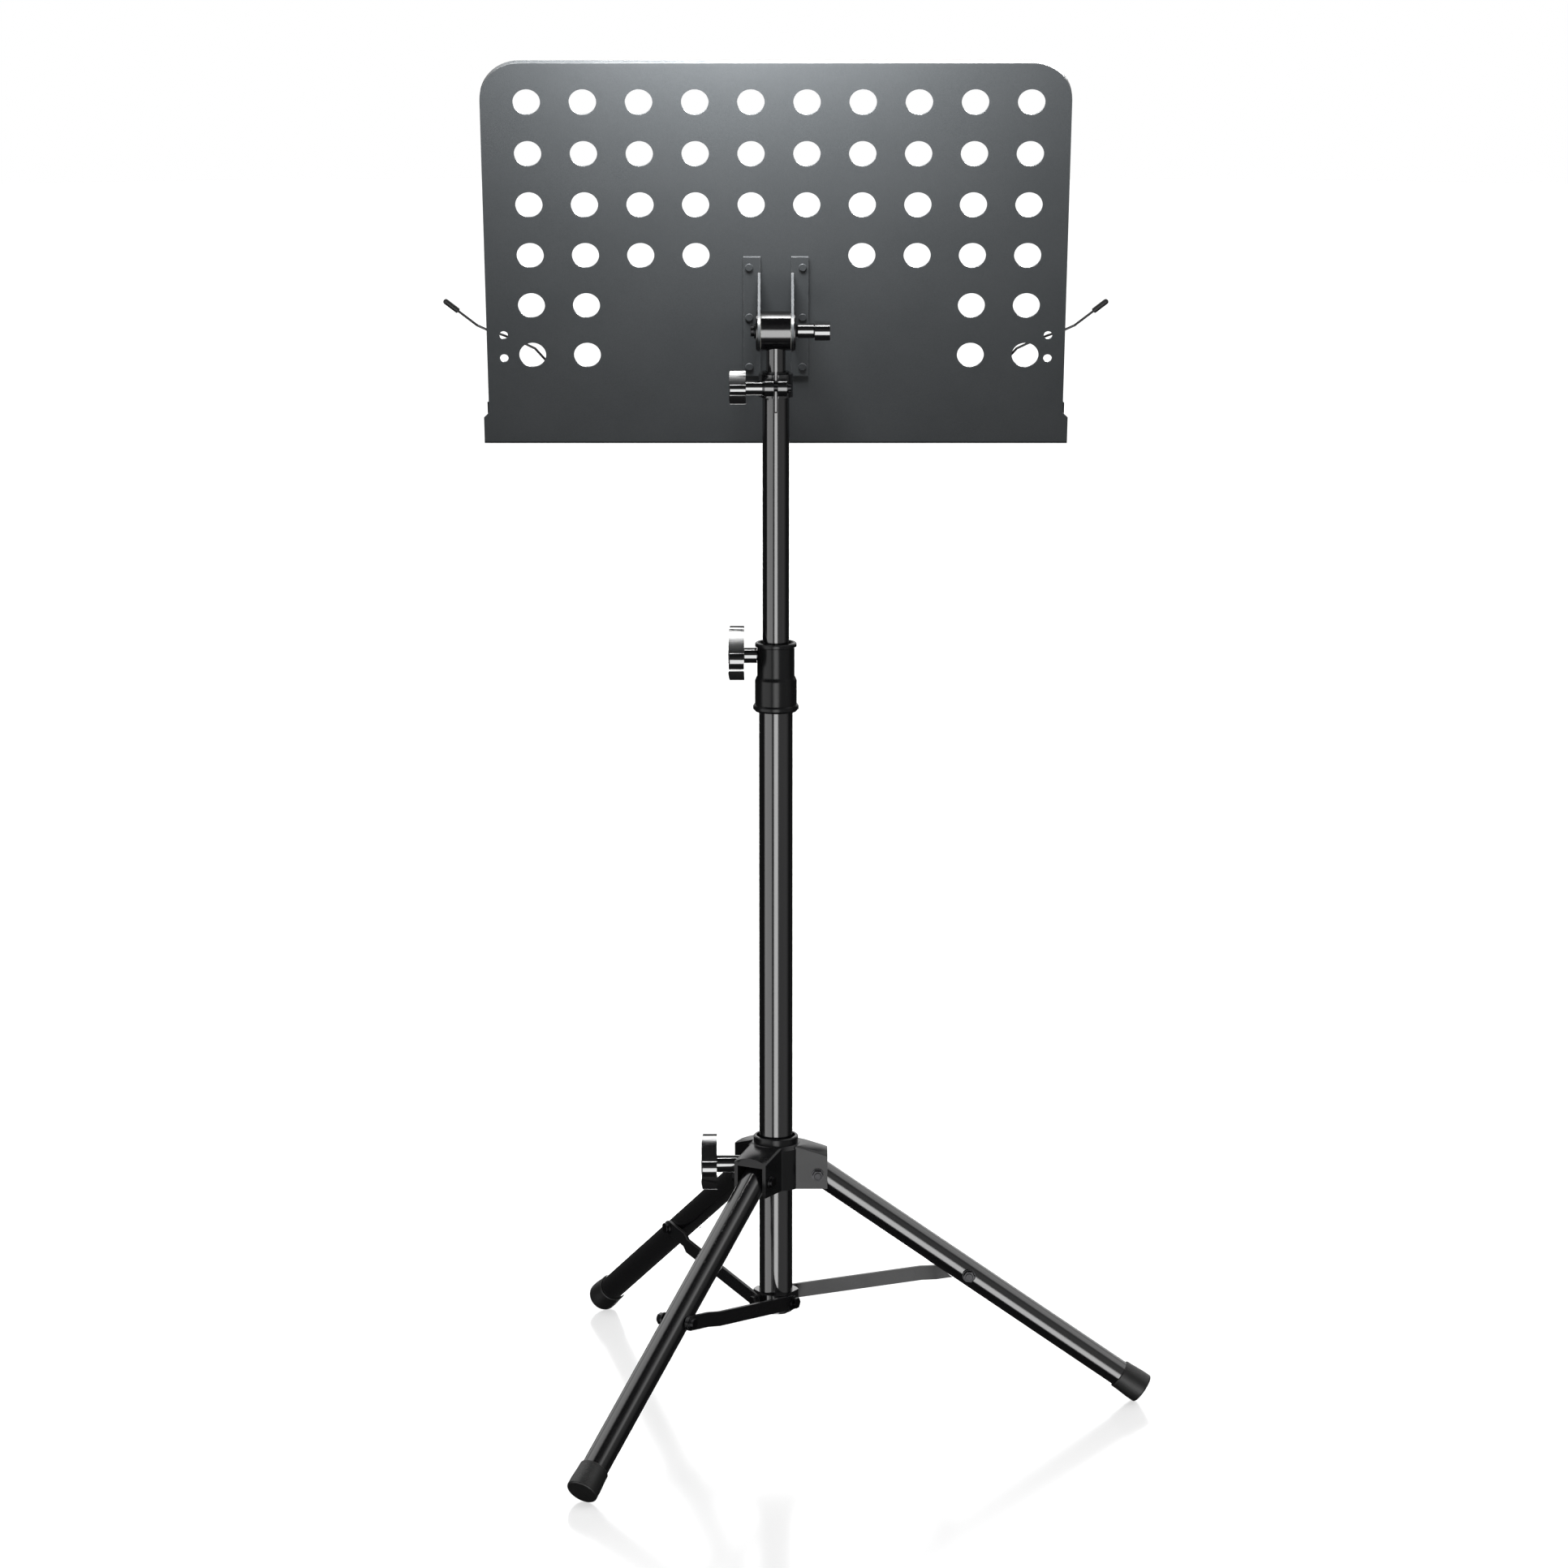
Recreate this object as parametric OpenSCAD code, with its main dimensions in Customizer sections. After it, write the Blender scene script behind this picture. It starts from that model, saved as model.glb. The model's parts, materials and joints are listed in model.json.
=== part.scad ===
// Folding orchestra music stand: a perforated sheet desk on a telescopic column over a tripod.
// Millimetres, +Z up. The origin is on the floor, on the column's axis.
// The desk's reading face looks towards +Y; leg B points along +X.

/* [Desk] */
// Width of the desk between its folded side rims
desk_w = 475; // [390:1:580]
// Height of the desk along its slope, from the shelf to the top edge
desk_h = 341; // [280:1:420]
// Lean of the desk from the vertical, in degrees
desk_tilt = 19.4; // [5:0.1:40]
// Thickness of the desk's steel sheet
sheet_t = 1.2; // [0.8:0.1:2]
// Radius of the desk's top corners
desk_corner_r = 32; // [15:1:50]
// Depth of the rim folded forward along the top and the sides
rim_d = 6; // [3:0.5:10]
// Height of the plain band above the shelf, where the desk has no rim
band_h = 29; // [20:1:40]
// How far the plain band stands out beyond the desk on each side
band_out = 4.3; // [2:0.1:8]
// Depth of the shelf
shelf_d = 55; // [40:1:75]
// Height of the lip along the shelf's front edge
lip_h = 12; // [8:0.5:20]
// Outer radius of the bends at the back and the front of the shelf
bend_r = 2.6; // [2.2:0.1:4]

/* [Desk holes] */
// Diameter of the large holes
hole_d = 22; // [14:0.5:28]
// Distance between the large holes, across and down
hole_pitch = 45; // [36:1:60]
// Least distance from a side edge to the centre of the nearest hole
hole_margin_side = 33; // [25:1:60]
// Distance from the top edge to the centre of the first row
hole_margin_top = 33.6; // [25:0.1:60]
// Least distance from the shelf to the centre of the last row
hole_margin_shelf = 82; // [60:1:120]
// Sideways offset of the whole pattern
hole_shift = 2.5; // [0:0.5:5]
// Diameter of the small holes near the side rims
pin_hole_d = 7; // [4:0.5:9]
// Distance from a side edge to the centres of the small holes
pin_hole_in = 14; // [11:0.5:16]

/* [Page holders] */
// Diameter of the spring wire
wire_d = 2; // [1.6:0.1:2.6]
// Distance from the middle of the desk to each page holder's pivot
holder_x = 140; // [110:1:170]
// Distance of the wire in front of the desk sheet's back face
holder_gap = 10; // [9:0.5:14]

/* [Tilt head] */
// Height of the tilt axis above the shelf, along the desk
tilt_up = 128; // [110:1:150]
// Distance from the tilt axis to the desk sheet's back face
tilt_back = 48.6; // [40:0.1:60]
// Radius of the tilt barrel
barrel_r = 16; // [13:0.5:18]
// Length of the tilt barrel
barrel_w = 24; // [20:0.5:30]
// Thickness of the bracket's steel
bracket_t = 2; // [1.5:0.1:2.6]
// Height of the bracket's feet on the desk
bracket_h = 107.5; // [90:0.5:120]
// Width of each bracket foot, from the ear's inner face
bracket_foot_w = 14; // [12:0.5:20]
// Diameter of the tilt bolt
tilt_bolt_d = 8; // [6:0.5:10]

/* [Column] */
// Outer radius of the upper tube
upper_tube_r = 11; // [9:0.1:13.2]
// Wall of both column tubes
tube_wall = 1.5; // [1:0.1:2]
// Gap between the upper tube and the inside of the lower tube
tube_gap = 1.5; // [1:0.1:2.5]
// Length of the lower tube
lower_tube_len = 532; // [440:1:640]
// Length of the upper tube
upper_tube_len = 540; // [450:1:650]
// Length of upper tube that stands out of the height collar
extension = 221.5; // [60:0.5:400]
// Height of the tilt axis above the upper tube's end
neck_rise = 34.5; // [30:0.5:60]
// Wall of the plastic sleeve between the neck rod and the upper tube
neck_sleeve_wall = 1.5; // [1:0.1:2]

/* [Clamp knobs] */
// Diameter of the clamping screws
screw_d = 8; // [6:0.5:9]
// Overall radius of the two large knobs
knob_r = 25.3; // [20:0.1:30]
// Overall radius of the swivel knob
small_knob_r = 15.4; // [13:0.1:18]
// Thickness of the knobs
knob_t = 14; // [10:0.5:18]

/* [Tripod] */
// Length of a leg from its pivot to the end of its foot
leg_len = 334; // [275:1:402]
// Slope of the spread legs below the horizontal, in degrees
leg_angle = 34.86; // [30:0.01:45]
// Outer radius of a leg tube
leg_r = 11; // [9:0.1:13.2]
// Wall of a leg tube
leg_wall = 1.5; // [1:0.1:2]
// Distance from the lower tube's surface to the leg pivots
leg_standoff = 21; // [20:0.5:28]
// Length of leg tube above its pivot
leg_top = 9; // [7:0.5:10]
// Distance along a leg from its pivot to the strut's bolt
strut_on_leg = 154.5; // [128:0.5:186]
// Height of the strut's outer bolt above its inner one
strut_drop = 23.5; // [15:0.5:32]
// Height of the strut's flat bar
strut_h = 12; // [10:0.5:15]
// Thickness of the strut's flat bar
strut_t = 3; // [2:0.1:4]
// Length of a rubber foot
foot_len = 24; // [20:0.5:32]
// Radius of a rubber foot at its end
foot_r = 13; // [12.6:0.1:16]

/* [Hidden] */
$fn = 64;

// Radial clearance of anything that turns or slides in a hole
run = 0.06;
// Gap between flat faces that move past each other
face_gap = 0.1;
// Length added to a cut so that it passes the surface it opens
cut = 1;

// Azimuths of the three legs
LEG_A = -120;
LEG_B = 0;
LEG_C = 120;

// Column radii, from the upper tube outwards
lower_tube_in = upper_tube_r + tube_gap;
lower_tube_r = lower_tube_in + tube_wall;
upper_tube_in = upper_tube_r - tube_wall;
neck_rod_r = upper_tube_in - neck_sleeve_wall;

// Tripod heights and reaches
foot_round = 1.5;
foot_floor = 3;
foot_flare = 0.75;
pivot_r = lower_tube_r + leg_standoff;
pivot_z = (leg_len - foot_round) * sin(leg_angle) + (foot_r - foot_round) * cos(leg_angle) + foot_round;
leg_corner = sqrt(leg_top * leg_top + leg_r * leg_r);
strut_in_r = 2;
strut_out_r = pivot_r + strut_on_leg * cos(leg_angle);
strut_out_z = pivot_z - strut_on_leg * sin(leg_angle);
strut_z = strut_out_z - strut_drop;
strut_len = sqrt(pow(strut_out_r - strut_in_r, 2) + strut_drop * strut_drop);
strut_slope = atan2(strut_drop, strut_out_r - strut_in_r);
strut_bolt_r = 3;
strut_joggle = 12;
strut_joggle_in = 40;

// Strut bracket round the lower tube's foot
bracket_wall = 1.2;
strut_side = lower_tube_r + bracket_wall + face_gap;
strut_leg_side = leg_r + 0.2;
strut_bracket_lo = strut_z - 8;
strut_bracket_hi = strut_z + 8;
strut_bracket_r = lower_tube_r + 5;

// Tube ends and the height collar
lower_tube_lo = strut_z - 6;
lower_tube_hi = lower_tube_lo + lower_tube_len;
collar_sleeve = 23;
collar_lo = lower_tube_hi - collar_sleeve;
collar_body_r = upper_tube_r + 4.4;
collar_skirt_r = lower_tube_r + 3.2;
collar_flange_r = lower_tube_r + 4.8;
collar_lip_r = collar_body_r + 1.7;
collar_step = 25.5;
collar_neck = 29.5;
collar_lip_lo = 53;
collar_hi = 57;
height_screw_z = collar_lo + 46;
upper_tube_hi = collar_lo + collar_hi + extension;
upper_tube_lo = upper_tube_hi - upper_tube_len;
tilt_z = upper_tube_hi + neck_rise;

// Swivel clamp
clamp_h = 19;
clamp_wall = 3;
clamp_r = upper_tube_r + clamp_wall;
clamp_lo = upper_tube_hi - clamp_h;
clamp_slot = 3.3;
clamp_lug_r = 7;
clamp_lug_x = 9.1;
clamp_screw_z = upper_tube_hi - clamp_h / 2;
clamp_screw_r = screw_d / 2 - 1;
clamp_screw_y = -(clamp_r + clamp_screw_r + 2.5);
neck_flange_t = 1.5;

// Desk, measured from the tilt axis: y forward from it, z up the slope
desk_lo = -tilt_up;
desk_hi = desk_lo + desk_h;
bracket_top = 43.7;
bracket_rivet_pitch = 45;
bracket_rivet_top = 8.8;
ear_in = barrel_w / 2 + 0.6;
ear_out = ear_in + bracket_t;
ear_end_r = barrel_r + 0.5;
ear_top = bracket_top - 13.5;
ear_low = -33;
cup_t = 1.6;
rivet_x = ear_in + 9.2;
hole_rows = floor((desk_h - hole_margin_top - hole_margin_shelf) / hole_pitch + 0.001) + 1;
hole_cols = floor((desk_w - 2 * hole_margin_side) / hole_pitch) + 1;

// Page holders
holder_eye_r = 2.6;
holder_stud_head_r = 3.6;
holder_y = tilt_back + shelf_d + wire_d / 2 + face_gap;
holder_z = desk_lo + lip_h - 5;
holder_tip_r = 2.3;
holder_tip_len = 13;
wire_swell = 0.08;

// Tripod hub
hub_wall = 3.2;
fork_half = leg_r + 0.8;
fork_out = fork_half + hub_wall;
fork_end = pivot_r + 8;
bush_r = lower_tube_r + 2;
cavity_r = bush_r + 2.5;
fork_start = bush_r + 0.2;
hub_body_r = norm([fork_start, fork_out]) + 0.42;
hub_lo = pivot_z - 12;
hub_hi = pivot_z + 25;
roof_slope = 17.5;
roof_z = pivot_z + leg_corner + 1.1;
roof_crown = 4;
roof_r = (fork_out * fork_out + roof_crown * roof_crown) / (2 * roof_crown);
bush_flange_r = lower_tube_r + 4.6;
bush_flange_t = 6;
hub_screw_z = pivot_z + 5.7;
hub_boss_r = 8.5;
hub_boss_end = hub_body_r + 4.5;
insert_r = screw_d / 2 + 2.4;
pivot_bolt_r = 3;

BLACK = [0.09, 0.09, 0.1];
CHARCOAL = [0.22, 0.23, 0.24];
STEEL = [0.35, 0.35, 0.37];
RUBBER = [0.05, 0.05, 0.05];
BRASS = [0.72, 0.58, 0.3];
NYLON = [0.8, 0.8, 0.78];

// Points on an arc about c, from angle a0 to a1
function arc(c, r, a0, a1, n = 6) =
    [for (i = [0:n]) let (a = a0 + (a1 - a0) * i / n) c + r * [cos(a), sin(a)]];

// Point where the tangent from p touches a circle of radius r about the origin; side is 1 or -1
function touch(p, r, side) =
    let (d = norm(p), lean = atan2(p[1], p[0]) + side * acos(r / d))
    r * [cos(lean), sin(lean)];

// A profile drawn in y and z, carried along x from x0 to x1
module along_x(x0, x1) {
    translate([x0, 0, 0]) rotate([90, 0, 90]) linear_extrude(x1 - x0) children();
}

// An outline drawn in x and z, carried along y from y0 to y1
module along_y(y0, y1) {
    translate([0, y1, 0]) rotate([90, 0, 0]) linear_extrude(y1 - y0) children();
}

module rod_x(r, x0, x1) {
    translate([x0, 0, 0]) rotate([0, 90, 0]) cylinder(r = r, h = x1 - x0);
}

module rod_y(r, y0, y1) {
    translate([0, y0, 0]) rotate([-90, 0, 0]) cylinder(r = r, h = y1 - y0);
}

// A hexagon prism along y, flat is its width across the flats
module hex_y(flat, y0, y1) {
    translate([0, y0, 0]) rotate([-90, 0, 0]) cylinder(r = flat / 2 / cos(30), h = y1 - y0, $fn = 6);
}

module ring(r_out, r_in, z0, z1) {
    difference() {
        translate([0, 0, z0]) cylinder(r = r_out, h = z1 - z0);
        translate([0, 0, z0 - cut]) cylinder(r = r_in, h = z1 - z0 + 2 * cut);
    }
}

// Turns +Z along the way from a to b, with the origin at a
module from_to(a, b) {
    v = b - a;
    translate(a) rotate([0, atan2(norm([v[0], v[1]]), v[2]), atan2(v[1], v[0])]) children();
}

// A straight piece of round wire between two points
module wire_piece(a, b, d) {
    from_to(a, b) cylinder(d = d, h = norm(b - a), $fn = 24);
}

// Everything that leans with the desk, drawn as if the desk stood upright behind the tilt axis
module desk_frame() {
    translate([0, 0, tilt_z]) rotate([desk_tilt, 0, 0]) children();
}

module leg_frame(azimuth) {
    rotate([0, 0, azimuth]) translate([pivot_r, 0, pivot_z]) rotate([0, 90 + leg_angle, 0]) children();
}

module strut_frame(azimuth) {
    rotate([0, 0, azimuth]) translate([strut_in_r, 0, strut_z]) rotate([0, -strut_slope, 0]) children();
}

// ---- Desk ----

// The flanged part of the desk, drawn smaller by inset on the top and the sides
module panel_outline(inset) {
    half = desk_w / 2 - inset;
    top = desk_hi - inset;
    r = desk_corner_r - inset;
    low = desk_lo + band_h;
    translate([-half, low]) square([2 * half, top - r - low]);
    translate([r - half, low]) square([2 * (half - r), top - low]);
    for (side = [-1, 1]) translate([side * (half - r), top - r]) circle(r = r);
}

module band_outline(low) {
    half = desk_w / 2;
    wide = half + band_out;
    top = desk_lo + band_h;
    polygon([[-wide, low], [wide, low], [wide, top - band_out], [half, top],
        [-half, top], [-wide, top - band_out]]);
}

// Rows below the bracket's top keep only their outer holes
function hole_kept(column, x, z) =
    z > bracket_top + hole_pitch / 2 ? true :
    z > bracket_top - hole_pitch / 2 ? abs(x) > hole_pitch :
    min(column, hole_cols - 1 - column) < 2;

module desk_holes() {
    last_z = desk_hi - hole_margin_top - (hole_rows - 1) * hole_pitch;
    for (row = [0:hole_rows - 1], column = [0:hole_cols - 1]) {
        x = (column - (hole_cols - 1) / 2) * hole_pitch;
        z = desk_hi - hole_margin_top - row * hole_pitch;
        if (hole_kept(column, x, z)) translate([x + hole_shift, z]) circle(d = hole_d);
    }
    for (side = [-1, 1], up = [-3, 18])
        translate([side * (desk_w / 2 - pin_hole_in), last_z + up]) circle(d = pin_hole_d, $fn = 32);
}

module shelf_profile() {
    back = tilt_back;
    front = tilt_back + shelf_d;
    join = desk_lo + 2 * bend_r;
    inner = bend_r - sheet_t;
    back_c = [back + bend_r, desk_lo + bend_r];
    front_c = [front - bend_r, desk_lo + bend_r];
    polygon(concat(
        [[back, join]], arc(back_c, bend_r, 180, 270), arc(front_c, bend_r, 270, 360),
        [[front, desk_lo + lip_h], [front - sheet_t, desk_lo + lip_h]],
        arc(front_c, inner, 360, 270), arc(back_c, inner, 270, 180), [[back + sheet_t, join]]));
}

module desk_plate() {
    half_band = desk_w / 2 + band_out;
    color(CHARCOAL) desk_frame() difference() {
        union() {
            along_y(tilt_back, tilt_back + sheet_t) difference() {
                union() {
                    panel_outline(0);
                    band_outline(desk_lo + 2 * bend_r);
                }
                desk_holes();
            }
            along_y(tilt_back + sheet_t / 2, tilt_back + rim_d) difference() {
                panel_outline(0);
                panel_outline(sheet_t);
                translate([sheet_t - desk_w / 2, desk_lo])
                    square([desk_w - 2 * sheet_t, band_h + 2 * sheet_t]);
            }
            along_x(-half_band, half_band) shelf_profile();
        }
        for (side = [-1, 1]) translate([side * holder_x, 0, holder_z])
            rod_y(1.5 + run, tilt_back + shelf_d - sheet_t - cut, tilt_back + shelf_d + cut);
        for (side = [-1, 1], row = [0:2])
            translate([side * rivet_x, 0, bracket_top - bracket_rivet_top - row * bracket_rivet_pitch])
                rod_y(2, tilt_back - cut, tilt_back + sheet_t + cut);
    }
}

// One angle bracket: a foot on the desk and an ear that reaches the tilt axis
module desk_bracket(side) {
    foot_y = tilt_back - bracket_t;
    top = [tilt_back, ear_top];
    low = [tilt_back, ear_low];
    inner_x = side > 0 ? ear_in : -ear_out;
    foot_x = side > 0 ? ear_in : -ear_in - bracket_foot_w;
    color(CHARCOAL) desk_frame() difference() {
        union() {
            along_x(inner_x, inner_x + bracket_t) {
                circle(r = ear_end_r);
                polygon([[0, 0], touch(top, ear_end_r, 1), top, low, touch(low, ear_end_r, -1)]);
            }
            translate([foot_x, foot_y, bracket_top - bracket_h]) cube([bracket_foot_w, bracket_t, bracket_h]);
        }
        rod_x(tilt_bolt_d / 2 + 0.02, -ear_out - cut, ear_out + cut);
        for (row = [0:2])
            translate([side * rivet_x, 0, bracket_top - bracket_rivet_top - row * bracket_rivet_pitch])
                rod_y(2, foot_y - cut, tilt_back + cut);
    }
}

module desk_bracket_left() { desk_bracket(-1); }
module desk_bracket_right() { desk_bracket(1); }

// Six rivets that hold the brackets to the desk, with a low head behind and set flush in front
module bracket_rivets() {
    back = tilt_back - bracket_t;
    front = tilt_back + sheet_t;
    color(CHARCOAL) desk_frame() for (side = [-1, 1], row = [0:2])
        translate([side * rivet_x, 0, bracket_top - bracket_rivet_top - row * bracket_rivet_pitch]) {
            rod_y(2, back, front);
            rod_y(3.2, back - 1.2, back);
        }
}

// ---- Page holders ----

// The wire's corners for the right-hand side, from its eye to its tip, as [x, y, z] in the desk's frame
holder_y_in = tilt_back + holder_gap;
holder_path = [
    [holder_x + 2.4, holder_y, holder_z + 3.2],
    [holder_x + 7, holder_y, holder_z + 12],
    [holder_x + 16, holder_y - 14, holder_z + 24],
    [holder_x + 50, holder_y_in, holder_z + 66],
    [holder_x + 58.5, holder_y_in, holder_z + 76.5],
    [holder_x + 67, holder_y_in, holder_z + 81],
    [holder_x + 84, holder_y_in, holder_z + 88.5],
    [holder_x + 98, holder_y_in + 0.5, holder_z + 93.5],
    [holder_x + 105.5, holder_y_in + 1, holder_z + 97],
    [holder_x + 123, holder_y_in + 1, holder_z + 112],
];
holder_end = holder_path[len(holder_path) - 1];
holder_last = holder_path[len(holder_path) - 2];
holder_way = (holder_end - holder_last) / norm(holder_end - holder_last);

module page_holder_wire() {
    for (i = [0:len(holder_path) - 2]) wire_piece(holder_path[i], holder_path[i + 1], wire_d);
    for (i = [0:len(holder_path) - 2]) translate(holder_path[i]) sphere(d = wire_d + wire_swell, $fn = 24);
    translate([holder_x, holder_y, holder_z]) rotate([-90, 0, 0])
        rotate_extrude() translate([holder_eye_r + wire_d / 2, 0]) circle(d = wire_d, $fn = 24);
}

// Sleeve with a round end, bored for the last 3 mm of wire
module holder_tip() {
    bore = wire_d / 2 + wire_swell;
    from_to(holder_end - holder_way * 3, holder_end) rotate_extrude() polygon(concat(
        [[bore, 0], [holder_tip_r - 0.5, 0], [holder_tip_r, 0.5]],
        arc([0, holder_tip_len], holder_tip_r, 0, 90, 8), [[0, 3 + face_gap], [bore, 3 + face_gap]]));
}

module page_holder_right() { color(BLACK) desk_frame() page_holder_wire(); }
module page_holder_left() { color(BLACK) desk_frame() mirror([1, 0, 0]) page_holder_wire(); }
module holder_tip_right() { color(BLACK) desk_frame() holder_tip(); }
module holder_tip_left() { color(BLACK) desk_frame() mirror([1, 0, 0]) holder_tip(); }

// The two studs on the shelf's lip that the wires' eyes turn on
module holder_studs() {
    lip = tilt_back + shelf_d;
    color(STEEL) desk_frame() for (side = [-1, 1]) translate([side * holder_x, 0, holder_z]) {
        rod_y(1.5, lip - sheet_t - 0.8, lip);
        rod_y(2.8, lip - sheet_t - 1.4, lip - sheet_t);
        rod_y(holder_eye_r - run, lip, holder_y + wire_d / 2 + face_gap);
        rod_y(holder_stud_head_r, holder_y + wire_d / 2 + face_gap, holder_y + wire_d / 2 + 1.3);
    }
}

// ---- Tilt head ----

module tilt_frame() {
    translate([0, 0, tilt_z]) children();
}

tilt_bolt_end = ear_out + cup_t + 24;

module tilt_bolt() {
    head = ear_out + cup_t;
    color(STEEL) desk_frame() {
        rod_x(tilt_bolt_d / 2, -head, tilt_bolt_end);
        rod_x(6.2, -head - 1.4, -head);
        rod_x(4.6, -head - 4.2, -head - 1.4);
    }
}

module tilt_cup_washers() {
    color(BLACK) desk_frame() for (side = [-1, 1]) rotate([0, side * 90, 0])
        rotate_extrude() polygon([[tilt_bolt_d / 2 + 0.02, ear_out], [ear_end_r - 0.5, ear_out],
            [ear_end_r - 0.5, ear_out + 1], [ear_end_r - 1.1, ear_out + cup_t],
            [tilt_bolt_d / 2 + 0.02, ear_out + cup_t]]);
}

// The barrel between the ears, bored across for the bolt and from below for the neck rod
module tilt_barrel() {
    color(BLACK) tilt_frame() difference() {
        rod_x(barrel_r, -barrel_w / 2, barrel_w / 2);
        rod_x(tilt_bolt_d / 2 + run, -barrel_w, barrel_w);
        translate([0, 0, -barrel_r - cut]) cylinder(r = neck_rod_r, h = barrel_r + cut - tilt_bolt_d / 2 - 2);
    }
}

module tilt_friction_discs() {
    color(NYLON) tilt_frame() for (side = [-1, 1]) rotate([0, side * 90, 0])
        ring(barrel_r - 1.5, tilt_bolt_d / 2 + run, barrel_w / 2, ear_in - face_gap);
}

module neck_rod() {
    low = clamp_lo - 45;
    top = tilt_z - tilt_bolt_d / 2 - 2;
    color(BLACK) translate([0, 0, low]) cylinder(r = neck_rod_r, h = top - low);
}

// ---- Knobs, drawn with the stem on +Z from z = 0 ----

// Rounded triangle through three lobes, with hollowed sides
module lobed_outline(r, lobe_r) {
    reach = r - lobe_r;
    hollow_r = 3 * r;
    difference() {
        union() {
            for (i = [0:2]) rotate(120 * i) translate([reach, 0]) circle(r = lobe_r);
            polygon([for (i = [0:2], end = [-1, 1]) reach * [cos(120 * i), sin(120 * i)]
                + lobe_r * [cos(120 * i + 60 * end), sin(120 * i + 60 * end)]]);
        }
        for (i = [0:2]) rotate(120 * i + 60)
            translate([reach / 2 + lobe_r + hollow_r - 0.06 * r, 0]) circle(r = hollow_r, $fn = 128);
    }
}

module lobed_knob(r, lobe_r, stem_r, stem_len, bore_r, bore_len) {
    crown_r = 6 * r;
    difference() {
        union() {
            cylinder(r = stem_r, h = stem_len);
            intersection() {
                translate([0, 0, stem_len]) linear_extrude(knob_t) lobed_outline(r, lobe_r);
                translate([0, 0, stem_len + knob_t - crown_r]) sphere(r = crown_r, $fn = 128);
            }
        }
        translate([0, 0, -cut]) cylinder(r = bore_r, h = bore_len + cut);
    }
}

tilt_knob_x = ear_out + cup_t + face_gap;
tilt_knob_r = 15;

// A wing knob with a brass nut moulded in
module tilt_knob() {
    wing_r = 7.1;
    stem_len = 14.5;
    wing_level = [-desk_tilt, 0, 0];
    color(BLACK) desk_frame() translate([tilt_knob_x, 0, 0]) rotate(wing_level) rotate([0, 90, 0]) difference() {
        union() {
            translate([0, 0, 1.4]) cylinder(r = 6, h = stem_len - 1.4);
            cylinder(r = 5, h = 1.4);
            translate([0, 0, stem_len + 0.6]) linear_extrude(12.5) {
                for (side = [-1, 1]) translate([0, side * (tilt_knob_r - wing_r)]) circle(r = wing_r);
                square([2 * wing_r, 2 * (tilt_knob_r - wing_r)], center = true);
            }
            translate([0, 0, stem_len]) cylinder(r = 5.4, h = 1);
        }
        translate([0, 0, -cut]) cylinder(r = tilt_bolt_d / 2 + run, h = 24 + 2 * cut);
        translate([0, 0, 3]) cylinder(r = tilt_bolt_d / 2 + 1.2, h = 9);
    }
}

module tilt_knob_nut() {
    color(BRASS) desk_frame() rotate([0, 90, 0])
        ring(tilt_bolt_d / 2 + 1.2, tilt_bolt_d / 2 + run, tilt_knob_x + 3, tilt_knob_x + 12);
}

// ---- Upper tube and swivel clamp ----

module upper_tube() {
    color(BLACK) difference() {
        ring(upper_tube_r, upper_tube_in, upper_tube_lo, upper_tube_hi);
        translate([-1, -2 * upper_tube_r, clamp_lo - 12])
            cube([2, 2 * upper_tube_r, clamp_h + 12 + cut]);
    }
}

// Split sleeve that fills the gap between the neck rod and the tube
module neck_sleeve() {
    bore = neck_rod_r + run;
    color(BLACK) difference() {
        union() {
            ring(upper_tube_in, bore, clamp_lo - 30, upper_tube_hi);
            ring(upper_tube_r, bore, upper_tube_hi, upper_tube_hi + neck_flange_t);
        }
        translate([-1, -2 * upper_tube_r, clamp_lo - 30 - cut])
            cube([2, 2 * upper_tube_r, clamp_h + 30 + neck_flange_t + 2 * cut]);
    }
}

module swivel_clamp() {
    color(BLACK) difference() {
        union() {
            translate([0, 0, clamp_lo]) cylinder(r = clamp_r, h = clamp_h);
            translate([0, clamp_screw_y, clamp_screw_z]) rod_x(clamp_lug_r, -clamp_lug_x, clamp_lug_x);
            translate([-clamp_lug_x, clamp_screw_y, clamp_screw_z - clamp_lug_r])
                cube([2 * clamp_lug_x, -clamp_screw_y, 2 * clamp_lug_r]);
        }
        translate([0, 0, clamp_lo - cut]) cylinder(r = upper_tube_r, h = clamp_h + 2 * cut);
        translate([-clamp_slot / 2, clamp_screw_y - 2 * clamp_lug_r, clamp_lo - cut])
            cube([clamp_slot, 2 * clamp_lug_r - clamp_screw_y, clamp_h + 2 * cut]);
        translate([0, clamp_screw_y, clamp_screw_z]) {
            rod_x(clamp_screw_r + run, -2 * clamp_lug_x, 2 * clamp_lug_x);
            rod_x(4.6, clamp_lug_x - 3, clamp_lug_x + cut);
        }
    }
}

// Threaded bush pressed into the lug away from the knob
module swivel_clamp_nut() {
    color(STEEL) translate([0, clamp_screw_y, clamp_screw_z]) rotate([0, 90, 0])
        ring(4.6, clamp_screw_r + run, clamp_lug_x - 3, clamp_lug_x + 1);
}

module upper_tube_guide() {
    color(NYLON) {
        ring(upper_tube_r + tube_gap - run, upper_tube_in - 2, upper_tube_lo - 6, upper_tube_lo);
        ring(upper_tube_in, upper_tube_in - 2, upper_tube_lo, upper_tube_lo + 18);
    }
}

swivel_stem = 13.5;
swivel_knob_x = clamp_lug_x + 1.6 + face_gap;

module swivel_frame() {
    translate([0, clamp_screw_y, clamp_screw_z]) rotate([0, -90, 0]) children();
}

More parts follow.
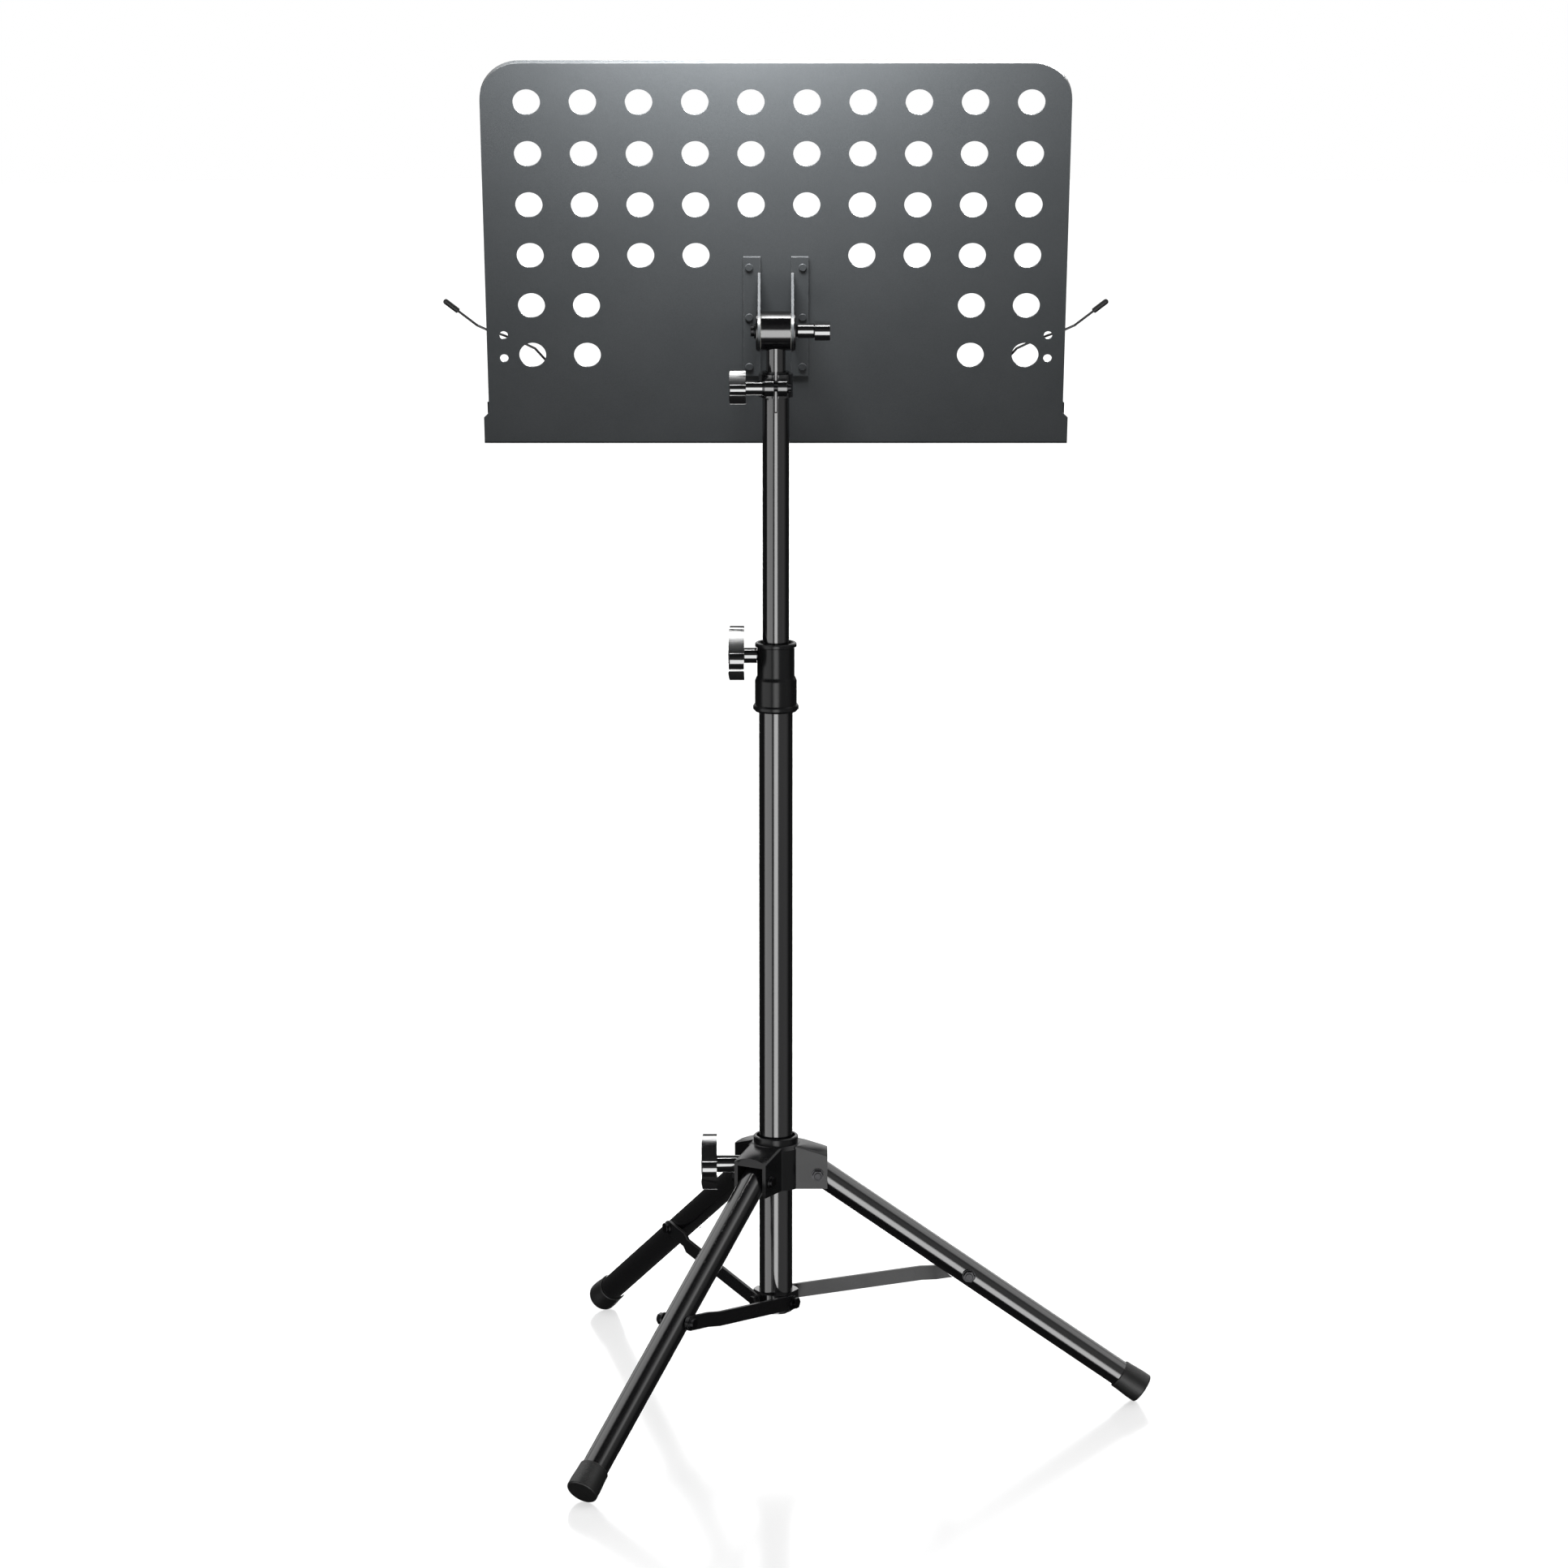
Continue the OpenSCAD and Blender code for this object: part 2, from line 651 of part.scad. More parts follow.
module swivel_knob() {
    color(BLACK) swivel_frame() translate([0, 0, swivel_knob_x]) rotate([0, 0, -90])
        lobed_knob(small_knob_r, 5, 5.8, swivel_stem, clamp_screw_r, swivel_stem + 6);
}

module swivel_screw() {
    low = -clamp_lug_x - 3;
    color(STEEL) swivel_frame() translate([0, 0, low])
        cylinder(r = clamp_screw_r, h = swivel_knob_x + swivel_stem + 6 - low);
}

module swivel_washer() {
    color(STEEL) swivel_frame() ring(6.4, clamp_screw_r + run, clamp_lug_x, clamp_lug_x + 1.6);
}

// ---- Lower tube and height collar ----

module lower_tube() {
    color(BLACK) difference() {
        ring(lower_tube_r, lower_tube_in, lower_tube_lo, lower_tube_hi);
        strut_bracket_holes();
    }
}

// Three cross holes for the struts' inner bolts
module strut_bracket_holes() {
    for (azimuth = [LEG_A, LEG_B, LEG_C]) rotate([0, 0, azimuth]) translate([strut_in_r, 0, strut_z])
        rod_y(strut_bolt_r, 6, strut_bracket_r + cut);
}

module height_collar() {
    color(BLACK) translate([0, 0, collar_lo]) difference() {
        rotate_extrude() polygon([
            [lower_tube_r, 0], [collar_flange_r - 1.6, 0], [collar_flange_r, 1.8], [collar_flange_r, 4],
            [collar_flange_r - 0.8, 5.5], [collar_skirt_r, 5.5], [collar_skirt_r, collar_step],
            [collar_body_r, collar_neck], [collar_body_r, collar_lip_lo],
            [collar_lip_r, collar_lip_lo + 0.8], [collar_lip_r, collar_hi - 0.8],
            [collar_lip_r - 0.8, collar_hi], [collar_lip_r - 2.4, collar_hi],
            [upper_tube_r + 2, collar_hi - 3], [upper_tube_r + run, collar_hi - 3],
            [upper_tube_r + run, collar_sleeve], [lower_tube_r, collar_sleeve]]);
        translate([0, 0, height_screw_z - collar_lo]) rod_x(screw_d / 2 + run, -collar_body_r - cut, 0);
    }
}

// The brass pad at the screw's tip, which bears on the upper tube
module height_pad() {
    color(BRASS) translate([0, 0, height_screw_z])
        rod_x(screw_d / 2 - 0.4, -upper_tube_r - 2.2, -upper_tube_r - 0.4);
}

// Three-sided cast ring that carries the struts
module strut_bracket() {
    flat = lower_tube_r + bracket_wall;
    h = strut_bracket_hi - strut_bracket_lo;
    color(BLACK) difference() {
        intersection() {
            translate([0, 0, strut_bracket_lo]) cylinder(r = strut_bracket_r, h = h);
            rotate([0, 0, -90]) translate([0, 0, strut_bracket_lo]) cylinder(r = 2 * flat, h = h, $fn = 3);
        }
        translate([0, 0, strut_bracket_lo - cut]) cylinder(r = lower_tube_r, h = 2 * strut_bracket_hi);
        strut_bracket_holes();
    }
}

module strut_bracket_bolts() {
    out = strut_side + strut_t + face_gap;
    color(STEEL) for (azimuth = [LEG_A, LEG_B, LEG_C]) rotate([0, 0, azimuth])
        translate([strut_in_r, 0, strut_z]) {
            rod_y(strut_bolt_r, 8, out);
            rod_y(5.6, out, out + 1);
            hex_y(8.6, out + 1, out + 4);
        }
}

module tube_plug() {
    color(BLACK) difference() {
        union() {
            translate([0, 0, lower_tube_lo - 3]) cylinder(r = lower_tube_r, h = 3);
            translate([0, 0, lower_tube_lo]) cylinder(r = lower_tube_in, h = 14);
        }
        strut_bracket_holes();
    }
}

height_stem = 10.3;

module height_frame() {
    translate([0, 0, height_screw_z]) rotate([0, -90, 0]) children();
}

module height_knob() {
    color(BLACK) height_frame() translate([0, 0, collar_body_r + face_gap]) rotate([0, 0, -93])
        lobed_knob(knob_r, 8, 6.5, height_stem, screw_d / 2, height_stem + 8);
}

module height_screw() {
    low = upper_tube_r + 2.2;
    color(STEEL) height_frame() translate([0, 0, low])
        cylinder(r = screw_d / 2, h = collar_body_r + face_gap + height_stem + 8 - low);
}

// ---- Tripod hub ----

module fork_solid() {
    axis_drop = roof_crown - roof_r / cos(roof_slope) + hub_wall;
    intersection() {
        translate([fork_start, -fork_out, hub_lo])
            cube([fork_end - fork_start, 2 * fork_out, hub_hi - 0.5 - hub_lo]);
        translate([pivot_r, 0, roof_z + axis_drop]) rotate([0, 90 + roof_slope, 0])
            translate([0, 0, -2 * pivot_r]) cylinder(r = roof_r, h = 4 * pivot_r, $fn = 96);
    }
}

// The open space under a fork's roof, in which the leg turns
module fork_space() {
    rise = tan(roof_slope);
    along_y(-fork_half, fork_half) polygon([
        [cavity_r, hub_lo - cut], [2 * pivot_r, hub_lo - cut],
        [2 * pivot_r, roof_z - rise * pivot_r], [cavity_r, roof_z + rise * (pivot_r - cavity_r)]]);
}

module tripod_hub() {
    color(BLACK) difference() {
        union() {
            translate([0, 0, hub_lo]) cylinder(r = hub_body_r, h = hub_hi - 3 - hub_lo);
            translate([0, 0, hub_hi - 3]) cylinder(r1 = hub_body_r, r2 = bush_flange_r + 1, h = 3);
            for (azimuth = [LEG_A, LEG_B, LEG_C]) rotate([0, 0, azimuth]) fork_solid();
            translate([0, 0, hub_screw_z]) rod_x(hub_boss_r, -hub_boss_end, -bush_r - 1);
        }
        translate([0, 0, hub_lo - cut]) cylinder(r = bush_r, h = hub_hi - hub_lo + 2 * cut);
        for (azimuth = [LEG_A, LEG_B, LEG_C]) rotate([0, 0, azimuth]) {
            fork_space();
            translate([pivot_r, 0, pivot_z]) rod_y(pivot_bolt_r, -fork_out - cut, fork_out + cut);
        }
        translate([0, 0, hub_screw_z]) rod_x(insert_r, -hub_boss_end - cut, 0);
    }
}

// Plastic sliding sleeve with the flange that shows on top of the hub
module hub_bush() {
    bore = lower_tube_r + run;
    color(BLACK) difference() {
        rotate_extrude() polygon([[bore, hub_lo], [bush_r, hub_lo], [bush_r, hub_hi], [bush_flange_r, hub_hi],
            [bush_flange_r, hub_hi + bush_flange_t - 0.8], [bush_flange_r - 0.8, hub_hi + bush_flange_t],
            [bush_flange_r - 2.4, hub_hi + bush_flange_t], [lower_tube_r + 1.6, hub_hi + 2.5],
            [bore, hub_hi + 2.5]]);
        translate([0, 0, hub_screw_z]) rod_x(screw_d / 2 + run, -hub_boss_end, 0);
    }
}

module hub_insert() {
    color(BRASS) translate([0, 0, hub_screw_z]) rotate([0, -90, 0])
        ring(insert_r, screw_d / 2 + run, bush_r + 0.9, hub_boss_end);
}

module at_leg_pivots() {
    for (azimuth = [LEG_A, LEG_B, LEG_C]) rotate([0, 0, azimuth]) translate([pivot_r, 0, pivot_z]) children();
}

module leg_pivot_bolts() {
    color(STEEL) at_leg_pivots() {
        rod_y(pivot_bolt_r, -fork_out - 5.5, fork_out);
        rod_y(5.2, fork_out, fork_out + 1);
        rod_y(4.4, fork_out + 1, fork_out + 3.4);
    }
}

module leg_pivot_nuts() {
    color(STEEL) at_leg_pivots() difference() {
        union() {
            rod_y(5.2, -fork_out - 1, -fork_out);
            hex_y(8, -fork_out - 4.5, -fork_out - 1);
        }
        rod_y(pivot_bolt_r, -fork_out - 6, -fork_out + cut);
    }
}

hub_stem = 22;

module hub_knob_frame() {
    translate([0, 0, hub_screw_z]) rotate([0, -90, 0]) children();
}

module hub_knob() {
    color(BLACK) hub_knob_frame() translate([0, 0, hub_boss_end + face_gap]) rotate([0, 0, -86])
        lobed_knob(knob_r + 0.8, 8, 7.2, hub_stem, screw_d / 2, hub_stem + 8);
}

module hub_screw() {
    low = lower_tube_r + 0.1;
    color(STEEL) hub_knob_frame() translate([0, 0, low])
        cylinder(r = screw_d / 2, h = hub_boss_end + face_gap + hub_stem + 8 - low);
}

// ---- Legs, feet and struts ----

module leg(azimuth) {
    color(BLACK) leg_frame(azimuth) difference() {
        ring(leg_r, leg_r - leg_wall, -leg_top, leg_len - foot_floor);
        rod_y(pivot_bolt_r + run, -2 * leg_r, 2 * leg_r);
        translate([0, 0, strut_on_leg]) rod_y(strut_bolt_r, -2 * leg_r, 2 * leg_r);
    }
}

module foot(azimuth) {
    start = leg_len - foot_len;
    neck = foot_r - foot_flare;
    color(RUBBER) leg_frame(azimuth) rotate_extrude() polygon(concat(
        [[0, leg_len - foot_floor], [leg_r, leg_len - foot_floor], [leg_r, start], [neck - 0.6, start],
         [neck, start + 0.6], [neck, start + 4], [foot_r, leg_len - 8]],
        arc([foot_r - foot_round, leg_len - foot_round], foot_round, 0, 90, 8),
        [[0, leg_len]]));
}

// Bolt end and nut on the far side of the leg from the strut
module leg_nut(azimuth) {
    color(STEEL) leg_frame(azimuth) translate([0, 0, strut_on_leg]) {
        rod_y(strut_bolt_r, -leg_r - 6.5, leg_r);
        rod_y(5.6, -leg_r - 1.6, -leg_r);
        hex_y(8.6, -leg_r - 5.4, -leg_r - 1.6);
    }
}

module strut(azimuth) {
    bend_0 = strut_len - strut_joggle_in;
    bend_1 = bend_0 + strut_joggle;
    half = strut_h / 2;
    color(BLACK) strut_frame(azimuth) difference() {
        intersection() {
            translate([0, 0, -half]) linear_extrude(strut_h) polygon([
                [-half, strut_side], [bend_0, strut_side], [bend_1, strut_leg_side],
                [strut_len + half, strut_leg_side], [strut_len + half, strut_leg_side + strut_t],
                [bend_1, strut_leg_side + strut_t], [bend_0, strut_side + strut_t],
                [-half, strut_side + strut_t]]);
            along_y(0, 2 * strut_side) {
                circle(r = half);
                translate([0, -half]) square([strut_len, strut_h]);
                translate([strut_len, 0]) circle(r = half);
            }
        }
        rod_y(strut_bolt_r + run, 0, 2 * strut_side);
        translate([strut_len, 0, 0]) rod_y(strut_bolt_r, 0, 2 * strut_side);
    }
}

// Bolt head and shank in the strut, ending just clear of the leg
module strut_bolt(azimuth) {
    out = strut_leg_side + strut_t;
    color(STEEL) strut_frame(azimuth) translate([strut_len, 0, 0]) {
        rod_y(strut_bolt_r, strut_leg_side - 0.05, out);
        rod_y(5.4, out, out + 1);
        rod_y(4.4, out + 1, out + 3.6);
    }
}

module leg_a() { leg(LEG_A); }
module leg_b() { leg(LEG_B); }
module leg_c() { leg(LEG_C); }
module foot_a() { foot(LEG_A); }
module foot_b() { foot(LEG_B); }
module foot_c() { foot(LEG_C); }
module leg_nut_a() { leg_nut(LEG_A); }
module leg_nut_b() { leg_nut(LEG_B); }
module leg_nut_c() { leg_nut(LEG_C); }
module strut_a() { strut(LEG_A); }
module strut_b() { strut(LEG_B); }
module strut_c() { strut(LEG_C); }
module strut_bolt_a() { strut_bolt(LEG_A); }
module strut_bolt_b() { strut_bolt(LEG_B); }
module strut_bolt_c() { strut_bolt(LEG_C); }

desk_plate();
desk_bracket_left();
desk_bracket_right();
bracket_rivets();
page_holder_left();
page_holder_right();
holder_tip_left();
holder_tip_right();
holder_studs();
tilt_bolt();
tilt_cup_washers();
tilt_knob();
tilt_knob_nut();
tilt_barrel();
tilt_friction_discs();
neck_rod();
upper_tube();
neck_sleeve();
swivel_clamp();
swivel_clamp_nut();
upper_tube_guide();
swivel_knob();
swivel_screw();
swivel_washer();
lower_tube();
height_collar();
height_pad();
strut_bracket();
strut_bracket_bolts();
tube_plug();
height_knob();
height_screw();
tripod_hub();
hub_bush();
hub_insert();
leg_pivot_bolts();
leg_pivot_nuts();
hub_knob();
hub_screw();
leg_a();
leg_b();
leg_c();
foot_a();
foot_b();
foot_c();
leg_nut_a();
leg_nut_b();
leg_nut_c();
strut_a();
strut_b();
strut_c();
strut_bolt_a();
strut_bolt_b();
strut_bolt_c();
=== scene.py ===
"""Looks of the folding music stand: finished surfaces, materials, floor, lights and camera."""
import json
import math

import bpy
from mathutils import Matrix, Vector


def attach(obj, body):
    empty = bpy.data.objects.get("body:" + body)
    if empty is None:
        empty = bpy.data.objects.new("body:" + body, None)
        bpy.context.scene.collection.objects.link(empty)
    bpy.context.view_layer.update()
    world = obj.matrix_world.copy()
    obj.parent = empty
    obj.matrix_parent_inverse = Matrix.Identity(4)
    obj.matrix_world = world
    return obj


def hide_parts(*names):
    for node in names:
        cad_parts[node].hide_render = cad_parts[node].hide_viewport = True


MM = 0.001

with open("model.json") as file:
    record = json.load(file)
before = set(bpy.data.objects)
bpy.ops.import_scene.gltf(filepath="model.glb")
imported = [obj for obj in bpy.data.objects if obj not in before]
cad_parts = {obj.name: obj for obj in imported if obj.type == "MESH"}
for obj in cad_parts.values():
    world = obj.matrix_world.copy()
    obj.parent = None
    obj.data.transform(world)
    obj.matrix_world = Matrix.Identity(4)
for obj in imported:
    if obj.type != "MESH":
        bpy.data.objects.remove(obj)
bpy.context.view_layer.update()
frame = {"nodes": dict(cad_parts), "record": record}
NODES = frame["nodes"]


# ---------------------------------------------------------------- shader node groups

def new_group(name, inputs, outputs):
    """An empty shader group; inputs and outputs are (name, socket type, default)."""
    tree = bpy.data.node_groups.new(name, "ShaderNodeTree")
    for label, kind, default in inputs:
        socket = tree.interface.new_socket(label, in_out="INPUT", socket_type=kind)
        if default is not None:
            socket.default_value = default
    for label, kind in outputs:
        tree.interface.new_socket(label, in_out="OUTPUT", socket_type=kind)
    return tree, tree.nodes.new("NodeGroupInput"), tree.nodes.new("NodeGroupOutput")


def add_node(tree, kind, **settings):
    node = tree.nodes.new(kind)
    for key, value in settings.items():
        setattr(node, key, value)
    return node


def math_node(tree, operation, first, second=0.5, clamp=False):
    node = add_node(tree, "ShaderNodeMath", operation=operation, use_clamp=clamp)
    for socket, value in zip(node.inputs, (first, second)):
        if isinstance(value, (int, float)):
            socket.default_value = value
        else:
            tree.links.new(value, socket)
    return node.outputs[0]


def noise(tree, scale, detail=3.0, roughness=0.5, stretch=None):
    """Noise on Object coordinates; stretch scales the coordinates first."""
    place = add_node(tree, "ShaderNodeTexCoord").outputs["Object"]
    if stretch:
        mapping = add_node(tree, "ShaderNodeMapping")
        mapping.inputs["Scale"].default_value = stretch
        tree.links.new(place, mapping.inputs["Vector"])
        place = mapping.outputs["Vector"]
    node = add_node(tree, "ShaderNodeTexNoise")
    tree.links.new(place, node.inputs["Vector"])
    node.inputs["Detail"].default_value = detail
    node.inputs["Roughness"].default_value = roughness
    if isinstance(scale, (int, float)):
        node.inputs["Scale"].default_value = scale
    else:
        tree.links.new(scale, node.inputs["Scale"])
    return node.outputs["Fac"]


def spread(tree, value, low, high):
    """Zero at low, one at high and clamped outside them."""
    node = add_node(tree, "ShaderNodeMapRange")
    node.inputs["From Min"].default_value = low
    node.inputs["From Max"].default_value = high
    tree.links.new(value, node.inputs["Value"])
    return node.outputs["Result"]


def edge_wear_group():
    """Mask of worn edges: where the rounded normal leaves the true one, broken up by noise."""
    tree, given, result = new_group(
        "edge_wear",
        [("Width", "NodeSocketFloat", 0.6 * MM), ("Amount", "NodeSocketFloat", 0.5)],
        [("Mask", "NodeSocketFloat")])
    bevel = add_node(tree, "ShaderNodeBevel", samples=4)
    tree.links.new(given.outputs["Width"], bevel.inputs["Radius"])
    geometry = add_node(tree, "ShaderNodeNewGeometry")
    dot = add_node(tree, "ShaderNodeVectorMath", operation="DOT_PRODUCT")
    tree.links.new(bevel.outputs["Normal"], dot.inputs[0])
    tree.links.new(geometry.outputs["Normal"], dot.inputs[1])
    turned = math_node(tree, "SUBTRACT", 1.0, dot.outputs["Value"])
    edge = spread(tree, turned, 0.02, 0.25)
    broken = spread(tree, noise(tree, 260.0, 4.0, 0.6), 0.42, 0.62)
    mask = math_node(tree, "MULTIPLY", edge, broken)
    tree.links.new(math_node(tree, "MULTIPLY", mask, given.outputs["Amount"], True), result.inputs["Mask"])
    return tree


def coat_grain_group():
    """Height of a sprayed or moulded surface: fine grain over a slow ripple."""
    tree, given, result = new_group(
        "coat_grain",
        [("Scale", "NodeSocketFloat", 1500.0), ("Ripple", "NodeSocketFloat", 0.3)],
        [("Height", "NodeSocketFloat"), ("Fleck", "NodeSocketFloat")])
    grain = noise(tree, given.outputs["Scale"], 2.0, 0.5)
    ripple = math_node(tree, "MULTIPLY", noise(tree, 60.0, 2.0), given.outputs["Ripple"])
    tree.links.new(math_node(tree, "ADD", grain, ripple), result.inputs["Height"])
    tree.links.new(spread(tree, grain, 0.35, 0.65), result.inputs["Fleck"])
    return tree


def handling_group():
    """Slow patches of touch marks and settled dust, for colour and roughness."""
    tree, given, result = new_group(
        "handling_marks",
        [("Scale", "NodeSocketFloat", 14.0)],
        [("Smudge", "NodeSocketFloat"), ("Dust", "NodeSocketFloat")])
    smudge = noise(tree, given.outputs["Scale"], 5.0, 0.6)
    tree.links.new(spread(tree, smudge, 0.35, 0.7), result.inputs["Smudge"])
    geometry = add_node(tree, "ShaderNodeNewGeometry")
    split = add_node(tree, "ShaderNodeSeparateXYZ")
    tree.links.new(geometry.outputs["Normal"], split.inputs[0])
    upward = spread(tree, split.outputs["Z"], 0.45, 1.0)
    speck = spread(tree, noise(tree, 700.0, 3.0, 0.7), 0.5, 0.75)
    tree.links.new(math_node(tree, "MULTIPLY", upward, speck), result.inputs["Dust"])
    return tree


def brushed_group():
    """Fine lines along one axis, as a tool leaves on metal."""
    tree, given, result = new_group(
        "tool_lines", [("Strength", "NodeSocketFloat", 1.0)], [("Height", "NodeSocketFloat")])
    lines = noise(tree, 900.0, 3.0, 0.6, (1.0, 1.0, 12.0))
    tree.links.new(math_node(tree, "MULTIPLY", lines, given.outputs["Strength"]), result.inputs["Height"])
    return tree


EDGE_WEAR = edge_wear_group()
COAT_GRAIN = coat_grain_group()
HANDLING = handling_group()
TOOL_LINES = brushed_group()


# ---------------------------------------------------------------- materials

def put_group(tree, group, **values):
    node = add_node(tree, "ShaderNodeGroup", node_tree=group)
    for label, value in values.items():
        node.inputs[label].default_value = value
    return node


def mix_colour(tree, factor, first, second):
    node = add_node(tree, "ShaderNodeMix", data_type="RGBA")
    tree.links.new(factor, node.inputs["Factor"])
    for socket, value in ((node.inputs[6], first), (node.inputs[7], second)):
        if isinstance(value, tuple):
            socket.default_value = (*value, 1.0)
        else:
            tree.links.new(value, socket)
    return node.outputs[2]


DUST = (0.32, 0.31, 0.3)


def coated(name, colour, worn, roughness, grain=1500.0, bump=0.08, ripple=0.3, wear=0.5, dust=0.25,
           wear_width=0.5 * MM, coat=0.0, level=0.5, fleck=0.12, index=1.5):
    """A finish with grain, handling marks and worn edges; colour and worn are linear RGB."""
    material = bpy.data.materials.new(name)
    material.use_nodes = True
    tree = material.node_tree
    shader = tree.nodes["Principled BSDF"]
    shader.inputs["IOR"].default_value = index
    shader.inputs["Coat Weight"].default_value = coat
    shader.inputs["Coat Roughness"].default_value = 0.08
    shader.inputs["Specular IOR Level"].default_value = level
    edge = put_group(tree, EDGE_WEAR, Width=wear_width, Amount=wear)
    surface = put_group(tree, COAT_GRAIN, Scale=grain, Ripple=ripple)
    marks = put_group(tree, HANDLING)
    light = tuple(min(1.0, c * 1.5 + 0.004) for c in colour)
    flecked = mix_colour(tree, math_node(tree, "MULTIPLY", surface.outputs["Fleck"], fleck), colour, light)
    settled = math_node(tree, "MULTIPLY", marks.outputs["Dust"], dust)
    dusty = mix_colour(tree, settled, flecked, DUST)
    tree.links.new(mix_colour(tree, edge.outputs["Mask"], dusty, worn), shader.inputs["Base Color"])
    patch = math_node(tree, "MULTIPLY", marks.outputs["Smudge"], 0.3 * roughness)
    rough = math_node(tree, "ADD", patch, 0.85 * roughness)
    tree.links.new(rough, shader.inputs["Roughness"])
    relief = add_node(tree, "ShaderNodeBump")
    relief.inputs["Strength"].default_value = bump
    relief.inputs["Distance"].default_value = 0.2 * MM
    tree.links.new(surface.outputs["Height"], relief.inputs["Height"])
    tree.links.new(relief.outputs["Normal"], shader.inputs["Normal"])
    return material


def bare_metal(name, colour, roughness, bump=0.15):
    """Turned or blackened metal with fine tool lines."""
    material = bpy.data.materials.new(name)
    material.use_nodes = True
    tree = material.node_tree
    shader = tree.nodes["Principled BSDF"]
    shader.inputs["Metallic"].default_value = 1.0
    lines = put_group(tree, TOOL_LINES)
    marks = put_group(tree, HANDLING, Scale=60.0)
    dark = tuple(0.6 * c for c in colour)
    tree.links.new(mix_colour(tree, marks.outputs["Smudge"], colour, dark), shader.inputs["Base Color"])
    patch = math_node(tree, "MULTIPLY", marks.outputs["Smudge"], 0.12)
    tree.links.new(math_node(tree, "ADD", patch, roughness), shader.inputs["Roughness"])
    relief = add_node(tree, "ShaderNodeBump")
    relief.inputs["Strength"].default_value = bump
    relief.inputs["Distance"].default_value = 0.1 * MM
    tree.links.new(lines.outputs["Height"], relief.inputs["Height"])
    tree.links.new(relief.outputs["Normal"], shader.inputs["Normal"])
    return material


STEEL_SHOWING = (0.16, 0.16, 0.165)
PALE_NYLON = (0.55, 0.54, 0.5)
FINISH = {
    "powder_coat": coated("powder_coat", (0.0085, 0.0093, 0.0099), STEEL_SHOWING, 0.36, grain=2200.0,
                          bump=0.22, wear=0.35, dust=0.05, fleck=0.5, level=0.14),
    "gloss_enamel": coated("gloss_enamel", (0.004, 0.004, 0.0045), STEEL_SHOWING, 0.15, grain=600.0,
                           bump=0.015, ripple=0.8, wear=0.4, dust=0.05, coat=0.2),
    "satin_enamel": coated("satin_enamel", (0.006, 0.006, 0.0065), STEEL_SHOWING, 0.3, bump=0.06, wear=0.6,
                           dust=0.08, level=0.15),
    "moulded_plastic": coated("moulded_plastic", (0.006, 0.0062, 0.0066), (0.05, 0.05, 0.05), 0.25,
                              grain=1800.0, bump=0.1, wear=0.25, dust=0.04, level=0.14),
    "knob_plastic": coated("knob_plastic", (0.004, 0.004, 0.0045), (0.05, 0.05, 0.05), 0.13, grain=900.0,
                           bump=0.02, wear=0.3, dust=0.05, coat=0.5, index=1.7),
    "nylon": coated("nylon", PALE_NYLON, (0.7, 0.69, 0.65), 0.45, bump=0.05, wear=0.2),
    "rubber": coated("rubber", (0.006, 0.006, 0.006), (0.035, 0.035, 0.035), 0.5, grain=1400.0, bump=0.3,
                     wear=0.5, dust=0.15, wear_width=0.8 * MM, level=0.35),
    "wire": coated("wire", (0.008, 0.008, 0.008), STEEL_SHOWING, 0.28, bump=0.03, wear=0.4, level=0.4),
    "brass": bare_metal("brass", (0.72, 0.52, 0.24), 0.28),
    "dark_steel": bare_metal("dark_steel", (0.022, 0.022, 0.023), 0.3),
}
SLOT_OF = {part["node"]: part["material_slot"] for part in frame["record"]["subparts"]}
BODY_OF = {node: body for body, nodes in frame["record"]["behaviour"]["bodies"].items() for node in nodes}


def dress(piece, slot):
    """Gives a piece the one material of its slot."""
    piece.data.materials.clear()
    piece.data.materials.append(FINISH[slot])


for name, cad in NODES.items():
    dress(cad, SLOT_OF[name])


# ---------------------------------------------------------------- finished pieces

def only(piece):
    """Selects one object and nothing else."""
    bpy.ops.object.select_all(action="DESELECT")
    piece.select_set(True)
    bpy.context.view_layer.objects.active = piece


SAME_POINT = 0.002 * MM
FLAT_WITHIN = math.radians(0.5)
ROUNDED_ABOVE = math.radians(32.0)
SMOOTH_BELOW = math.radians(38.0)


def softened(node, width):
    """A copy of a CAD node with its triangles joined and its edges rounded; it replaces the node."""
    cad = NODES[node]
    piece = cad.copy()
    piece.data = cad.data.copy()
    piece.name = node + "_finished"
    piece.parent = None
    for key in list(piece.keys()):
        del piece[key]
    bpy.context.scene.collection.objects.link(piece)
    only(piece)
    bpy.ops.object.mode_set(mode="EDIT")
    bpy.ops.mesh.select_all(action="SELECT")
    bpy.ops.mesh.remove_doubles(threshold=SAME_POINT)
    bpy.ops.mesh.dissolve_limited(angle_limit=FLAT_WITHIN)
    bpy.ops.object.mode_set(mode="OBJECT")
    bevel = piece.modifiers.new("rounded", "BEVEL")
    bevel.width = width
    bevel.segments = 2
    bevel.limit_method = "ANGLE"
    bevel.angle_limit = ROUNDED_ABOVE
    bevel.use_clamp_overlap = True
    bpy.ops.object.modifier_apply(modifier=bevel.name)
    bpy.ops.object.shade_smooth_by_angle(angle=SMOOTH_BELOW)
    flat_first = piece.modifiers.new("flat_first", "WEIGHTED_NORMAL")
    flat_first.keep_sharp = True
    bpy.ops.object.modifier_apply(modifier=flat_first.name)
    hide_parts(node)
    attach(piece, BODY_OF[node])
    return piece


